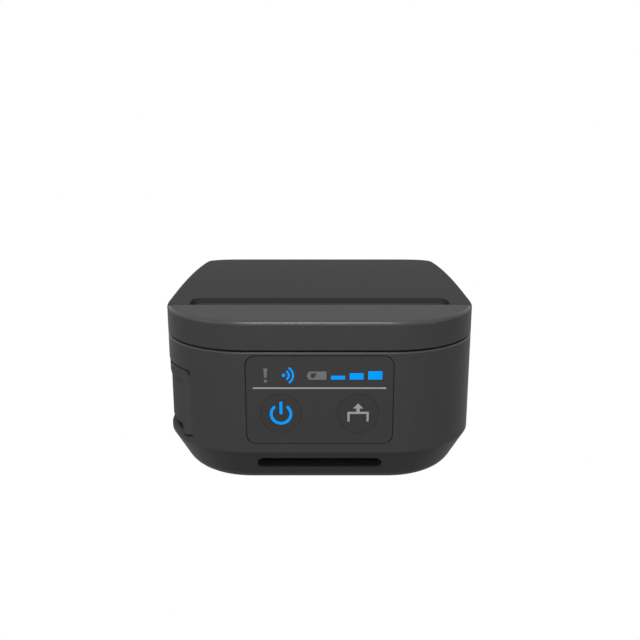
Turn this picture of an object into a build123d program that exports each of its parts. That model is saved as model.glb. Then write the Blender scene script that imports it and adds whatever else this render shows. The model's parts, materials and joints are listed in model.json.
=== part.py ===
from build123d import *
import math
import os

# Portable receipt printer, in millimetres. X to the right, Y to the rear, Z up.
# The origin is under the middle of the body, at the level the feet stand on.

# Body
SIDE_ROOM = 15.0
DEPTH = 145.0
HEIGHT = 60.6
FRONT_CORNER = 31.0
REAR_CORNER = 14.0
WALL = 2.2
FOOT_STAND = 0.4
CREASE_HEIGHT = 14.2
LOWER_SLOPE = 30.0
BASE_ROUND = 8.5
TOP_FLAT = 43.5
TOP_FALL = 6.2
TOP_ROUND = 1.6
LID_DEPTH = 10.6
SEAM = 0.5
EDGE_BREAK = 0.4
BEZEL_DEPTH = 22.9
SPLIT_GAP = 0.9
SPLIT_BEVEL = 0.35
TONGUE_X = (14.0, 20.0)
TONGUE_REACH = 4.0

# Clearances
PLAY = 0.3
RUNNING = 0.05
SLIP = 0.1

# Paper roll bay
ROLL_WIDTH = 80.0
ROLL_DIAMETER = 50.0
ROLL_GAP = 9.8
BAY_PLAY = 1.0
FRAME_WALL = 1.6
BAY_SIDE_DROP = 3.0
BAY_FRONT_DROP = 14.0

# Cover hinge
HINGE_PIN_RADIUS = 1.5
HINGE_KNUCKLE_RADIUS = 3.0
HINGE_DROP = 1.6
HINGE_INNER_ARM = (28.0, 32.0)
HINGE_OUTER_ARM = (37.9, 40.4)
LINER_SIDE_GAP = 1.4
LINER_REAR_GAP = 3.0

# Paper exit
EXIT_HALF = 46.3
EXIT_SETBACK = 9.4
EXIT_ROUND = 3.6
EXIT_CORNER = 2.0
SCOOP_DEPTH = 3.2
SCOOP_FALL = 0.9
SCOOP_SKIN = 1.4
TEAR_THICK = 0.5
TEAR_HALF = 42.0
TEAR_PITCH = 1.5
TEAR_TOOTH = 0.7
TEAR_HEIGHT = 5.0

# Platen and its gears
PLATEN_DROP = 3.0
PLATEN_RADIUS = 5.5
PLATEN_SHAFT_RADIUS = 2.0
BUSH_RADIUS = 3.0
COVER_ARM = 1.2
ARM_EYE = 1.2
ARM_NECK = 5.0
ARM_ROOT = 4.0
ARM_RISE = 3.0
SIDE_PLATE_GAP = 4.0
SHEET = 1.2
GEAR_MODULE = 0.5
GEAR_WIDTH = 2.0
GEAR_BACKLASH = 0.12
PLATEN_TEETH = 20
IDLER_TEETH = 30
PINION_TEETH = 12
IDLER_PIN_RADIUS = 1.5
MOTOR_RADIUS = 7.5
MOTOR_LENGTH = 17.0
MOTOR_SHAFT_RADIUS = 0.8
MOTOR_DIRECTION = 227.6

# Print head
HEAD_THICK = 1.3
HEAD_RISE = 5.4
HEAD_FALL = 5.0
SINK_THICK = 2.4
SINK_FALL = 10.0
SPRING_GAP = 3.0
SPRING_SHEET = 0.4
SPRING_X = (16.0, 24.0)

# Latch that holds the platen down
LATCH_DROP = 2.0
LATCH_SHAFT_GAP = 2.0
LATCH_SHAFT_RADIUS = 1.2
HOOK_THICK = 0.9
HOOK_RISE = 1.5

# Control panel
PANEL_HALF = 24.9
PANEL_LOW = 17.15
PANEL_BORDER = 1.16
PANEL_CORNER = 3.6
PANEL_GROOVE = 0.3
PANEL_THICK = 1.2
PANEL_SINK = 0.25
PANEL_LEDGE = 2.6
MARK_DEPTH = 0.5
BUTTON_RADIUS = 6.9
BUTTON_X = 13.0
BUTTON_DROP = 21.7
BUTTON_TRAVEL = 0.6
BUTTON_FLANGE = 0.7
RULE_DROP = 12.66
RULE_HALF = 22.3
RULE_THICK = 0.55
BOARD = 1.2
CONTROL_BOARD_GAP = 5.0
CONTROL_BOARD_BORDER = 2.0
CONTROL_BOARD_OUT = 4.1
CONTROL_POST_RADIUS = 1.8
CONTROL_POST_OUT = 1.6
CONTROL_POST_LOW = 3.0
CONTROL_POST_HIGH = 5.0
SWITCH_HEIGHT = 3.0
SWITCH_HALF = 3.0
SWITCH_STEM = 1.6
LAMP_X = (-18.0, -10.4, -1.0, 6.2, 12.3, 18.5)
LAMP_RISE = 4.4

# Opening lever on the left side
POCKET_SETBACK = 7.6
POCKET_LENGTH = 31.9
POCKET_LOW = 15.4
POCKET_DROP = 9.0
POCKET_DEPTH = 6.5
POCKET_REACH = 17.0
POCKET_WALL = 1.4
LEVER_GAP = 2.8
LEVER_RISE = 4.2
LEVER_RIM_RISE = 1.0
LEVER_TOP_GAP = 0.7
LEVER_THICK = 1.6
LEVER_SINK = 0.2
LEVER_RIM = 1.6
LEVER_DISH = 0.4
LEVER_PIN_RADIUS = 0.9
LEVER_BARREL = 2.2
LEVER_PIN_LENGTH = 17.0

# Strap slot in the lower front
STRAP_HALF = 21.4
STRAP_LOW = 6.35
STRAP_HIGH = 11.45
STRAP_REACH = 16.0
STRAP_DROP = 5.0
STRAP_WALL = 1.5

# Battery
BATTERY_HALF = 36.0
BATTERY_GAP = 3.4
BATTERY_HEIGHT = 28.0
BATTERY_SINK = 0.2
BATTERY_LATCH_HALF = 6.0
BATTERY_LATCH_TRAVEL = 3.0
CATCH_RISE = 2.0
CATCH_HEIGHT = 4.0
CATCH_GRIPS = 5
CATCH_GRIP_PITCH = 2.0
CONTACT_X = (-12.0, -4.0, 4.0, 12.0)
CONTACT_RISE = 9.4
PAD_HALF = 2.0
PAD_DEPTH = 0.4
BLADE_HALF = (1.0, 1.5)
TERMINAL_HALF = 17.0
TERMINAL_THICK = 1.2
TERMINAL_Z = (8.0, 16.0)

# Connector at the rear
PORT_X = -26.0
PORT_WIDTH = 9.0
PORT_HEIGHT = 3.2
PORT_SHEET = 0.4
PORT_DEPTH = 9.0
PORT_BOARD = 1.0
PORT_BOARD_HALF = 9.0
FLAP_HALF = 7.2
FLAP_THICK = 1.0
FLAP_HEIGHT = 6.8
FLAP_BEAD = 0.7
FLAP_ROOM = 0.5
FLAP_DROP = 1.8

# Base
FOOT_RADIUS = 5.0
FOOT_SINK = 1.2
FOOT_X = 33.0
FOOT_END = 22.5
INSERT_X = 15.0
INSERT_END = 34.5
INSERT_RADIUS = 2.1
INSERT_BORE = 1.25
INSERT_LENGTH = 6.0
SCREW_RADIUS = 1.2
SCREW_HEAD_RADIUS = 2.1
SCREW_HEAD = 1.4
SCREW_LENGTH = 8.0
TAB_THICK = 2.0
TAB_HALF = 3.0
FRONT_POST_X = 33.5
FRONT_POST_END = 12.0
REAR_POST_X = 32.0
REAR_POST_END = 8.0
BOARD_POST_RADIUS = 2.4
FRAME_POST_SIDE = 7.5
FRAME_POST_RADIUS = 2.8
TRAY_POST_END = 15.0
FRAME_POST_START = 14.0
FRAME_TAB_DROP = 12.0
MAIN_BOARD_HALF = 36.0
MAIN_BOARD_END = 9.0

# Places that follow from the sizes above
WIDTH = ROLL_WIDTH + 2 * SIDE_ROOM
FRONT = -DEPTH / 2
REAR = DEPTH / 2
PARTING_HEIGHT = HEIGHT - LID_DEPTH
SPLIT_Y = FRONT + BEZEL_DEPTH
COVER_FRONT = SPLIT_Y + SPLIT_GAP
CASE_TOP = PARTING_HEIGHT - SEAM / 2
COVER_LOW = PARTING_HEIGHT + SEAM / 2
FLOOR = FOOT_STAND + WALL
SKIRT_INNER = HINGE_KNUCKLE_RADIUS + 2 * PLAY
HINGE_Y = REAR - WALL - SKIRT_INNER
HINGE_HEIGHT = PARTING_HEIGHT - HINGE_DROP
PLATEN_Y = SPLIT_Y + 2 * PLAY + PLATEN_RADIUS
PLATEN_HEIGHT = PARTING_HEIGHT - PLATEN_DROP
BAY_HALF = ROLL_WIDTH / 2 + BAY_PLAY
BAY_FRONT = PLATEN_Y + PLATEN_RADIUS + ROLL_GAP + BAY_PLAY + PLAY - SLIP
BAY_REAR = BAY_FRONT + ROLL_DIAMETER + 2 * BAY_PLAY
BAY_SIDE_HEIGHT = PARTING_HEIGHT - BAY_SIDE_DROP
BAY_FRONT_HEIGHT = PARTING_HEIGHT - BAY_FRONT_DROP
SIDE_PLATE_X = BAY_HALF + SIDE_PLATE_GAP
POCKET_FRONT = FRONT + POCKET_SETBACK
POCKET_REAR = POCKET_FRONT + POCKET_LENGTH
POCKET_HIGH = PARTING_HEIGHT - POCKET_DROP
POCKET_INNER = POCKET_REACH - WIDTH / 2
LEVER_FRONT = POCKET_FRONT + LEVER_GAP
LEVER_PIN_FRONT = POCKET_REAR - LEVER_PIN_LENGTH
LEVER_PIN_X = -WIDTH / 2 + LEVER_SINK + LEVER_BARREL + SLIP
LEVER_TOP = POCKET_HIGH - LEVER_TOP_GAP
LEVER_LOW = POCKET_LOW + LEVER_RISE
LEVER_RIM_LOW = POCKET_LOW + LEVER_RIM_RISE
LEVER_PIN_Z = LEVER_TOP - LEVER_BARREL + SLIP
IDLER_Z = PLATEN_HEIGHT - GEAR_MODULE * (PLATEN_TEETH + IDLER_TEETH) / 2
PINION_REACH = GEAR_MODULE * (IDLER_TEETH + PINION_TEETH) / 2
MOTOR_Y = PLATEN_Y + PINION_REACH * math.cos(math.radians(MOTOR_DIRECTION))
MOTOR_Z = IDLER_Z + PINION_REACH * math.sin(math.radians(MOTOR_DIRECTION))
GEAR_X = SIDE_PLATE_X + SHEET + PLAY
PANEL_HIGH = PARTING_HEIGHT - PANEL_BORDER
PANEL_FACE = FRONT + PANEL_SINK
PANEL_BACK = PANEL_FACE + PANEL_THICK
PANEL_SEAT = PANEL_BACK + SLIP
BUTTON_Z = PARTING_HEIGHT - BUTTON_DROP
RULE_Z = PARTING_HEIGHT - RULE_DROP
STRAP_BACK = FRONT + STRAP_REACH
MAIN_BOARD_Z = STRAP_HIGH + STRAP_WALL + PLAY
MAIN_BOARD_TOP = MAIN_BOARD_Z + BOARD
BATTERY_FRONT = BAY_REAR + FRAME_WALL + BATTERY_GAP
BATTERY_TOP = FLOOR + PLAY + BATTERY_HEIGHT
CEILING_Z = BATTERY_TOP + PLAY
CEILING_TOP = CEILING_Z + FRAME_WALL
TOP_RUN = DEPTH - TOP_FLAT
TOP_BEND = (TOP_RUN ** 2 + TOP_FALL ** 2) / (2 * TOP_FALL)
SKIRT_HALF = WIDTH / 2 - REAR_CORNER - SEAM
HINGE_SWING = math.hypot(REAR - HINGE_Y, LID_DEPTH - TOP_FALL + HINGE_DROP) + PLAY
BULKHEAD_Y = HINGE_Y - HINGE_SWING - PLAY
KNUCKLES = [(HINGE_INNER_ARM[1] + PLAY, HINGE_OUTER_ARM[0] - PLAY),
            (-HINGE_OUTER_ARM[0] + PLAY, -HINGE_INNER_ARM[1] - PLAY)]
LINER_HALF = SIDE_PLATE_X - LINER_SIDE_GAP
ARM_TOP = HEIGHT - SCOOP_DEPTH - SCOOP_FALL - 2 * SCOOP_SKIN
LINER_REAR = BULKHEAD_Y - FRAME_WALL - LINER_REAR_GAP
HEAD_HALF = BAY_HALF
HEAD_HIGH = PLATEN_HEIGHT + HEAD_RISE
SINK_FRONT = PLATEN_Y - PLATEN_RADIUS - PLAY - HEAD_THICK - SINK_THICK
SINK_LOW = PLATEN_HEIGHT - SINK_FALL
FRAME_FRONT = SINK_FRONT - SPRING_GAP
LATCH_SHAFT_Y = FRAME_FRONT - SHEET - LATCH_SHAFT_GAP
LATCH_SHAFT_Z = PLATEN_HEIGHT - LATCH_DROP
HOOK_X = LINER_HALF + PLAY
CONTROL_BOARD_Y = PANEL_BACK + CONTROL_BOARD_GAP
CONTROL_BOARD_LOW = PANEL_LOW + CONTROL_BOARD_BORDER
CONTROL_POSTS = [(x, z) for x in (-PANEL_HALF - CONTROL_POST_OUT, PANEL_HALF + CONTROL_POST_OUT)
                 for z in (CONTROL_BOARD_LOW + CONTROL_POST_LOW, PANEL_HIGH - CONTROL_POST_HIGH)]
SWITCH_TOP = CONTROL_BOARD_Y - SWITCH_HEIGHT
BOARD_POSTS = [(-FRONT_POST_X, FRONT + FRONT_POST_END), (FRONT_POST_X, FRONT + FRONT_POST_END),
               (-REAR_POST_X, BAY_FRONT - REAR_POST_END), (REAR_POST_X, BAY_FRONT - REAR_POST_END)]
FRAME_POST_X = WIDTH / 2 - FRAME_POST_SIDE
FRAME_POSTS = [(x, y) for x in (-FRAME_POST_X, FRAME_POST_X)
               for y in (BAY_REAR - TRAY_POST_END, BATTERY_FRONT + FRAME_POST_START)]
FRAME_TAB_Z = PARTING_HEIGHT - FRAME_TAB_DROP
LATCH_LOW = CEILING_Z + CATCH_RISE
LATCH_HIGH = LATCH_LOW + CATCH_HEIGHT
PORT_LOW = CEILING_TOP + PORT_BOARD
FLAP_LOW = PORT_LOW - FLAP_DROP
FLAP_AXIS_X = PORT_X - FLAP_HALF
FLAP_AXIS_Y = REAR - FLAP_BEAD
INSERT_Y = FRONT + INSERT_END
CONTACT_PLACES = [(x, FLOOR + CONTACT_RISE) for x in CONTACT_X]
FAR = 200.0


def top_height(y):
    """Height of the outside of the top at depth y."""
    past = max(0.0, y - (FRONT + TOP_FLAT))
    return HEIGHT - TOP_BEND + math.sqrt(TOP_BEND ** 2 - past ** 2)


def block(x0, x1, y0, y1, z0, z1):
    return Pos((x0 + x1) / 2, (y0 + y1) / 2, (z0 + z1) / 2) * Box(x1 - x0, y1 - y0, z1 - z0)


def rod_x(x0, x1, y, z, radius):
    return Pos((x0 + x1) / 2, y, z) * Rot(0, 90, 0) * Cylinder(radius, x1 - x0)


def rod_y(y0, y1, x, z, radius):
    return Pos(x, (y0 + y1) / 2, z) * Rot(90, 0, 0) * Cylinder(radius, y1 - y0)


def rod_z(z0, z1, x, y, radius):
    return Pos(x, y, (z0 + z1) / 2) * Cylinder(radius, z1 - z0)


def front_prism(sketch, y0, y1):
    """A shape drawn in X and Z, as seen from the front, from depth y0 to y1."""
    return extrude(Plane.XZ.offset(-y1) * sketch, y1 - y0)


def side_prism(sketch, x0, x1):
    """A shape drawn in Y and Z, as seen from the side, from x0 to x1."""
    return extrude(Plane.YZ.offset(x0) * sketch, x1 - x0)


def polygon(points):
    return make_face(Polyline(*points, close=True))


def both_sides(shape):
    """The shape and its mirror image across the middle."""
    return [shape, mirror(shape, Plane.YZ)]


def outline(inset):
    """Plan of the body, seen from above: large front corners and small rear ones."""
    plan = Rectangle(WIDTH - 2 * inset, DEPTH - 2 * inset)
    plan = fillet(plan.vertices().group_by(Axis.Y)[0], FRONT_CORNER - inset)
    return fillet(plan.vertices().group_by(Axis.Y)[-1], REAR_CORNER - inset)


def envelope(inset):
    """The whole body as a solid, its faces moved inwards by the inset."""
    slope = math.radians(LOWER_SLOPE)
    crease = CREASE_HEIGHT + inset * math.tan(slope / 2)
    base = FOOT_STAND + inset
    narrowing = (crease - base) * math.tan(slope)
    lower = extrude(Pos(0, 0, base) * outline(inset + narrowing), crease - base, taper=-LOWER_SLOPE)
    lower = fillet(lower.edges().group_by(Axis.Z)[0], BASE_ROUND - inset)
    upper = extrude(Pos(0, 0, crease) * outline(inset), HEIGHT + 1 - crease)
    bend_y = FRONT + TOP_FLAT
    top = HEIGHT - inset
    sweep_angle = math.asin((REAR + WALL - bend_y) / TOP_BEND)
    bend = JernArc((bend_y, top), (1, 0), TOP_BEND - inset, -math.degrees(sweep_angle))
    side = Polyline(bend @ 1, (REAR + WALL, 0), (FRONT - WALL, 0), (FRONT - WALL, top), (bend_y, top))
    return (lower + upper) & side_prism(make_face([bend, side]), -WIDTH, WIDTH)


def gear(teeth, bore, phase, y, z):
    """An involute gear about an axis along X, with one tooth centred at the phase angle."""
    pitch = GEAR_MODULE * teeth / 2
    base = pitch * math.cos(math.radians(20))
    tip = pitch + GEAR_MODULE
    root = pitch - 1.25 * GEAR_MODULE
    half_tooth = math.pi / (2 * teeth) - GEAR_BACKLASH / (2 * pitch)
    pressure = math.acos(base / pitch)
    involute = math.tan(pressure) - pressure
    start = max(base, root)
    flank = []
    for step in range(4):
        radius = start + (tip - start) * step / 3
        angle = math.acos(min(1.0, base / radius))
        flank.append((radius, half_tooth + involute - (math.tan(angle) - angle)))
    points = []
    for tooth in range(teeth):
        middle = math.radians(phase) + 2 * math.pi * tooth / teeth
        points.append((root, middle - flank[0][1] - 0.01))
        points += [(radius, middle - half) for radius, half in flank]
        points += [(radius, middle + half) for radius, half in reversed(flank)]
        points.append((root, middle + flank[0][1] + 0.01))
    face = polygon([(radius * math.cos(a), radius * math.sin(a)) for radius, a in points])
    return side_prism(Pos(y, z) * (face - Circle(bore)), GEAR_X, GEAR_X + GEAR_WIDTH)


def keep(name, *shapes):
    """Writes one sub-part, which may hold several solids of the same kind."""
    solids = []
    for shape in shapes:
        solids += shape.solids()
    export_step(Compound(label=name, children=solids), "parts/" + name + ".step")


def shell_pieces():
    """The body skin, whole, with its top edge rounded."""
    whole = envelope(0)
    top_edges = whole.edges().filter_by_position(Axis.Z, top_height(REAR) - 1, HEIGHT + 1)
    inner = envelope(WALL)
    return fillet(top_edges, TOP_ROUND), inner


def break_edge(shape, height, rise):
    """A small bevel round the outer edge at one height: rise is 1 at a lower edge, -1 at an upper one."""
    start = height - EDGE_BREAK if rise < 0 else height
    slab = block(-FAR, FAR, -FAR, FAR, start, start + EDGE_BREAK)
    if rise < 0:
        core = extrude(Pos(0, 0, start) * outline(0), EDGE_BREAK, taper=45)
    else:
        core = extrude(Pos(0, 0, start) * outline(EDGE_BREAK), EDGE_BREAK, taper=-45)
    return shape - (slab - core)


def split_bevel(edge_y, rearward):
    """A small bevel across the top at the split: rearward is -1 on the bezel and 1 on the cover."""
    inner_y = edge_y + rearward * SPLIT_BEVEL
    return side_prism(polygon([(edge_y, HEIGHT + 1), (inner_y, HEIGHT + 1), (inner_y, HEIGHT),
                               (edge_y, HEIGHT - SPLIT_BEVEL)]), -WIDTH, WIDTH)


def slot_sketch(half, low, high, corner):
    """A rounded rectangle in X and Z, centred in X."""
    return Pos(0, (low + high) / 2) * RectangleRounded(2 * half, high - low, corner)


def lever_pocket():
    """The recess for the opening lever, sunk into the left side."""
    span = block(-FAR, POCKET_INNER, POCKET_FRONT, POCKET_REAR, POCKET_LOW, POCKET_HIGH)
    return span - envelope(POCKET_DEPTH)


def strap_space(grow):
    """Way of the strap: in at the lower front, then down through the base."""
    way_in = front_prism(slot_sketch(STRAP_HALF + grow, STRAP_LOW - grow, STRAP_HIGH + grow,
                                     (STRAP_HIGH - STRAP_LOW) / 2 - PLAY), FRONT - 1, STRAP_BACK + grow)
    drop = block(-STRAP_HALF - grow, STRAP_HALF + grow, STRAP_BACK - STRAP_DROP - grow,
                 STRAP_BACK + grow, -1, STRAP_HIGH + grow)
    return way_in + drop


def post(x, y, top, radius):
    """A screw post that stands on the inside of the base."""
    return rod_z(FOOT_STAND, top, x, y, radius) & envelope(WALL / 2)


def strap_anchor():
    """The block with the strap's way through it, let into the front of the base."""
    box = block(-STRAP_HALF - STRAP_WALL, STRAP_HALF + STRAP_WALL, FRONT, STRAP_BACK + STRAP_WALL,
                0, STRAP_HIGH + STRAP_WALL)
    return (box & envelope(0)) - strap_space(0)


def lever_housing():
    """The walls of the lever's recess, with the lug and the bores for its pin."""
    walls = block(-FAR, POCKET_INNER + POCKET_WALL, POCKET_FRONT - POCKET_WALL, POCKET_REAR + POCKET_WALL,
                  POCKET_LOW - POCKET_WALL, POCKET_HIGH + POCKET_WALL)
    walls = (walls - envelope(POCKET_DEPTH + POCKET_WALL)) & envelope(0)
    walls -= lever_pocket()
    lug_rear = LEVER_PIN_FRONT + SHEET + PLAY
    lug = rod_y(LEVER_PIN_FRONT, lug_rear, LEVER_PIN_X, LEVER_PIN_Z, LEVER_BARREL)
    lug += block(LEVER_PIN_X - LEVER_BARREL, LEVER_PIN_X + LEVER_BARREL, LEVER_PIN_FRONT, lug_rear,
                 LEVER_PIN_Z, POCKET_HIGH)
    walls += lug & envelope(LEVER_SINK)
    return walls - rod_y(LEVER_PIN_FRONT - 1, POCKET_REAR + 1, LEVER_PIN_X, LEVER_PIN_Z, LEVER_PIN_RADIUS)


def lower_case(outer, inner):
    """The base tray with its side walls up to the seam."""
    tray = (outer & block(-FAR, FAR, -FAR, FAR, 0, CASE_TOP)) - inner
    tray = break_edge(tray, CASE_TOP, -1)
    tray -= block(-FAR, POCKET_INNER + POCKET_WALL, POCKET_FRONT - POCKET_WALL, POCKET_REAR + POCKET_WALL,
                  POCKET_LOW - POCKET_WALL, POCKET_HIGH + POCKET_WALL)
    tray -= block(-STRAP_HALF - STRAP_WALL, STRAP_HALF + STRAP_WALL, FRONT, STRAP_BACK + STRAP_WALL,
                  0, STRAP_HIGH + STRAP_WALL)
    tray -= front_prism(slot_sketch(PANEL_HALF, PANEL_LOW, PANEL_HIGH, PANEL_CORNER), FRONT - 1, PANEL_SEAT)
    tray -= front_prism(slot_sketch(PANEL_HALF - PANEL_LEDGE, PANEL_LOW + PANEL_LEDGE,
                                    PANEL_HIGH - PANEL_LEDGE, 1), FRONT - 1, FRONT + 2 * WALL)
    for x, z in CONTROL_POSTS:
        tray += rod_y(FRONT + WALL - SLIP, CONTROL_BOARD_Y, x, z, CONTROL_POST_RADIUS)
    tray -= rod_x(-FAR, FAR, HINGE_Y, HINGE_HEIGHT, HINGE_SWING)
    tray -= block(-BATTERY_HALF - PLAY, BATTERY_HALF + PLAY, BATTERY_FRONT, REAR + 1, FLOOR, CEILING_Z)
    tray -= block(-BATTERY_LATCH_HALF - BATTERY_LATCH_TRAVEL - PLAY, BATTERY_LATCH_HALF + PLAY,
                  REAR - 2 * WALL, REAR + 1, LATCH_LOW - PLAY, LATCH_HIGH + PLAY)
    tray -= block(PORT_X - PORT_WIDTH / 2 - PLAY, PORT_X + PORT_WIDTH / 2 + PLAY, REAR - 2 * WALL,
                  REAR + 1, PORT_LOW - PLAY, PORT_LOW + PORT_HEIGHT + PLAY)
    flap_low = FLAP_LOW - PLAY
    flap_high = FLAP_LOW + FLAP_HEIGHT + PLAY
    tray -= block(FLAP_AXIS_X, PORT_X + FLAP_HALF + PLAY, REAR - FLAP_THICK - SLIP, REAR + 1,
                  flap_low, flap_high)
    tray -= block(FLAP_AXIS_X - FLAP_BEAD - FLAP_ROOM, FLAP_AXIS_X, FLAP_AXIS_Y, REAR + 1,
                  flap_low, flap_high)
    tray -= rod_z(flap_low, flap_high, FLAP_AXIS_X, FLAP_AXIS_Y, FLAP_BEAD + PLAY)
    for x in (-FOOT_X, FOOT_X):
        for y in (FRONT + FOOT_END, REAR - FOOT_END):
            tray -= rod_z(0, FOOT_STAND + FOOT_SINK, x, y, FOOT_RADIUS)
    for x in (-INSERT_X, INSERT_X):
        tray += rod_z(FOOT_STAND, FOOT_STAND + INSERT_LENGTH + SHEET, x, INSERT_Y, INSERT_RADIUS + SHEET)
        tray -= rod_z(0, FOOT_STAND + INSERT_LENGTH, x, INSERT_Y, INSERT_RADIUS)
    for x, y in BOARD_POSTS:
        tray += post(x, y, MAIN_BOARD_Z, BOARD_POST_RADIUS)
        tray -= rod_z(MAIN_BOARD_TOP - SCREW_LENGTH - 1, FAR, x, y, SCREW_RADIUS) & block(
            -FAR, FAR, -FAR, FAR, 0, MAIN_BOARD_Z + 1)
    for x, y in FRAME_POSTS:
        tray += post(x, y, FRAME_TAB_Z, FRAME_POST_RADIUS)
        tray -= rod_z(FRAME_TAB_Z - SCREW_LENGTH - 1, FRAME_TAB_Z + 1, x, y, SCREW_RADIUS)
    return tray


def front_bezel(outer, inner):
    """The fixed front part of the top, in front of the cover."""
    bezel = (outer & block(-FAR, FAR, -FAR, SPLIT_Y, COVER_LOW, FAR)) - inner
    bezel = break_edge(bezel, COVER_LOW, 1) - split_bevel(SPLIT_Y, -1)
    catch = block(TONGUE_X[0], TONGUE_X[1], FRONT + WALL + PLAY, FRONT + WALL + PLAY + SHEET,
                  CASE_TOP - TONGUE_REACH, HEIGHT - WALL)
    catch += block(TONGUE_X[0], TONGUE_X[1], FRONT + WALL / 2, FRONT + WALL + PLAY + SHEET,
                   COVER_LOW + 1, HEIGHT - WALL)
    for side in both_sides(catch):
        bezel += side
    return bezel - block(-TEAR_HALF, TEAR_HALF, SPLIT_Y - TEAR_THICK, SPLIT_Y + 1, 0, FAR)


def tear_bar():
    """A toothed steel strip along the front edge of the paper exit."""
    top = HEIGHT - EDGE_BREAK
    points = [(-TEAR_HALF, top - TEAR_HEIGHT), (-TEAR_HALF, top - TEAR_TOOTH)]
    for tooth in range(round(2 * TEAR_HALF / TEAR_PITCH)):
        left = -TEAR_HALF + tooth * TEAR_PITCH
        points += [(left + TEAR_PITCH / 2, top), (left + TEAR_PITCH, top - TEAR_TOOTH)]
    points.append((TEAR_HALF, top - TEAR_HEIGHT))
    return front_prism(polygon(points), SPLIT_Y - TEAR_THICK, SPLIT_Y)


def cover_shell(outer, inner):
    """The hinged lid: roof, side skirts, rear skirt, sunk paper exit and knuckles."""
    span = block(-FAR, FAR, COVER_FRONT, FAR, COVER_LOW, FAR)
    span += rod_x(-FAR, FAR, HINGE_Y, HINGE_HEIGHT, HINGE_SWING - SEAM)
    lid = (outer & span) - inner - split_bevel(COVER_FRONT, 1)
    relief = Pos(0, COVER_FRONT + EXIT_SETBACK / 2) * Rectangle(2 * EXIT_HALF, EXIT_SETBACK)
    relief = fillet(relief.vertices().group_by(Axis.Y)[-1], EXIT_ROUND)
    flare = Pos(0, COVER_FRONT - EXIT_CORNER / 2) * Rectangle(2 * EXIT_HALF, EXIT_CORNER)
    relief = extrude(Pos(0, 0, HEIGHT - SCOOP_DEPTH - 2 * WALL) * (relief + flare), FAR)
    lid -= relief
    back = COVER_FRONT + EXIT_SETBACK
    low = HEIGHT - SCOOP_DEPTH
    lip = low - SCOOP_FALL
    scoop = polygon([(back + SCOOP_SKIN, HEIGHT - WALL), (back + SCOOP_SKIN, low - 2 * SCOOP_SKIN),
                     (back - SCOOP_SKIN, low - SCOOP_SKIN), (COVER_FRONT + PLAY, lip - SCOOP_SKIN),
                     (COVER_FRONT + PLAY, lip), (back - SCOOP_DEPTH, low - PLAY),
                     (back - SCOOP_SKIN, low + PLAY),
                     (back - PLAY, low + SCOOP_SKIN), (back, HEIGHT - WALL)])
    lid += side_prism(scoop, -EXIT_HALF, EXIT_HALF)
    for x0, x1 in KNUCKLES:
        knuckle = rod_x(x0, x1, HINGE_Y, HINGE_HEIGHT, HINGE_KNUCKLE_RADIUS)
        knuckle += block(x0, x1, HINGE_Y, REAR - WALL, HINGE_HEIGHT - HINGE_KNUCKLE_RADIUS,
                         HINGE_HEIGHT + SKIRT_INNER)
        knuckle -= rod_x(x0 - 1, x1 + 1, HINGE_Y, HINGE_HEIGHT, HINGE_PIN_RADIUS + RUNNING)
        lid += knuckle
    return lid


def cover_liner():
    """The inner skin of the lid, with the two arms that carry the platen."""
    span = block(-LINER_HALF, LINER_HALF, COVER_FRONT + EXIT_SETBACK + 2 * SCOOP_SKIN, LINER_REAR,
                 COVER_LOW + 1, FAR)
    liner = (envelope(WALL) & span) - envelope(WALL + FRAME_WALL)
    arm = block(LINER_HALF - COVER_ARM, LINER_HALF, PLATEN_Y - BUSH_RADIUS - ARM_EYE, PLATEN_Y + ARM_NECK,
                PLATEN_HEIGHT, ARM_TOP)
    arm += rod_x(LINER_HALF - COVER_ARM, LINER_HALF, PLATEN_Y, PLATEN_HEIGHT, BUSH_RADIUS + ARM_EYE)
    arm += block(LINER_HALF - COVER_ARM, LINER_HALF, PLATEN_Y, BAY_FRONT + ARM_ROOT,
                 PLATEN_HEIGHT + ARM_RISE, ARM_TOP)
    arm += block(LINER_HALF - COVER_ARM, LINER_HALF, COVER_FRONT + EXIT_SETBACK + 2 * SCOOP_SKIN,
                 BAY_FRONT + ARM_ROOT, PLATEN_HEIGHT + ARM_RISE, HEIGHT - WALL - SLIP)
    arm -= rod_x(0, FAR, PLATEN_Y, PLATEN_HEIGHT, BUSH_RADIUS)
    for side in both_sides(arm):
        liner += side
    return liner


def roll_tray():
    """The open tray that the paper roll lies in."""
    x = BAY_HALF + FRAME_WALL
    tray = block(-x, x, BAY_FRONT - FRAME_WALL, BAY_REAR + FRAME_WALL, FLOOR, BAY_SIDE_HEIGHT)
    tray -= block(-BAY_HALF, BAY_HALF, BAY_FRONT, BAY_REAR, FLOOR + FRAME_WALL, FAR)
    tray -= block(-FAR, FAR, -FAR, BAY_FRONT + 1, BAY_FRONT_HEIGHT, FAR)
    for post_x, post_y in FRAME_POSTS:
        if post_y < BAY_REAR:
            tray += frame_tab(post_x, post_y, BAY_HALF + FRAME_WALL / 2)
    return (tray - tab_bores()) & envelope(WALL)


def frame_tab(x, y, root):
    """A tab that a screw holds down on its post."""
    inner_x = math.copysign(root, x)
    outer_x = math.copysign(abs(x) + TAB_HALF, x)
    return block(min(inner_x, outer_x), max(inner_x, outer_x), y - TAB_HALF, y + TAB_HALF,
                 FRAME_TAB_Z, FRAME_TAB_Z + TAB_THICK)


def tab_bores():
    bores = [rod_z(FRAME_TAB_Z, FRAME_TAB_Z + TAB_THICK, x, y, SCREW_RADIUS + SLIP)
             for x, y in FRAME_POSTS]
    return Part() + bores


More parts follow.
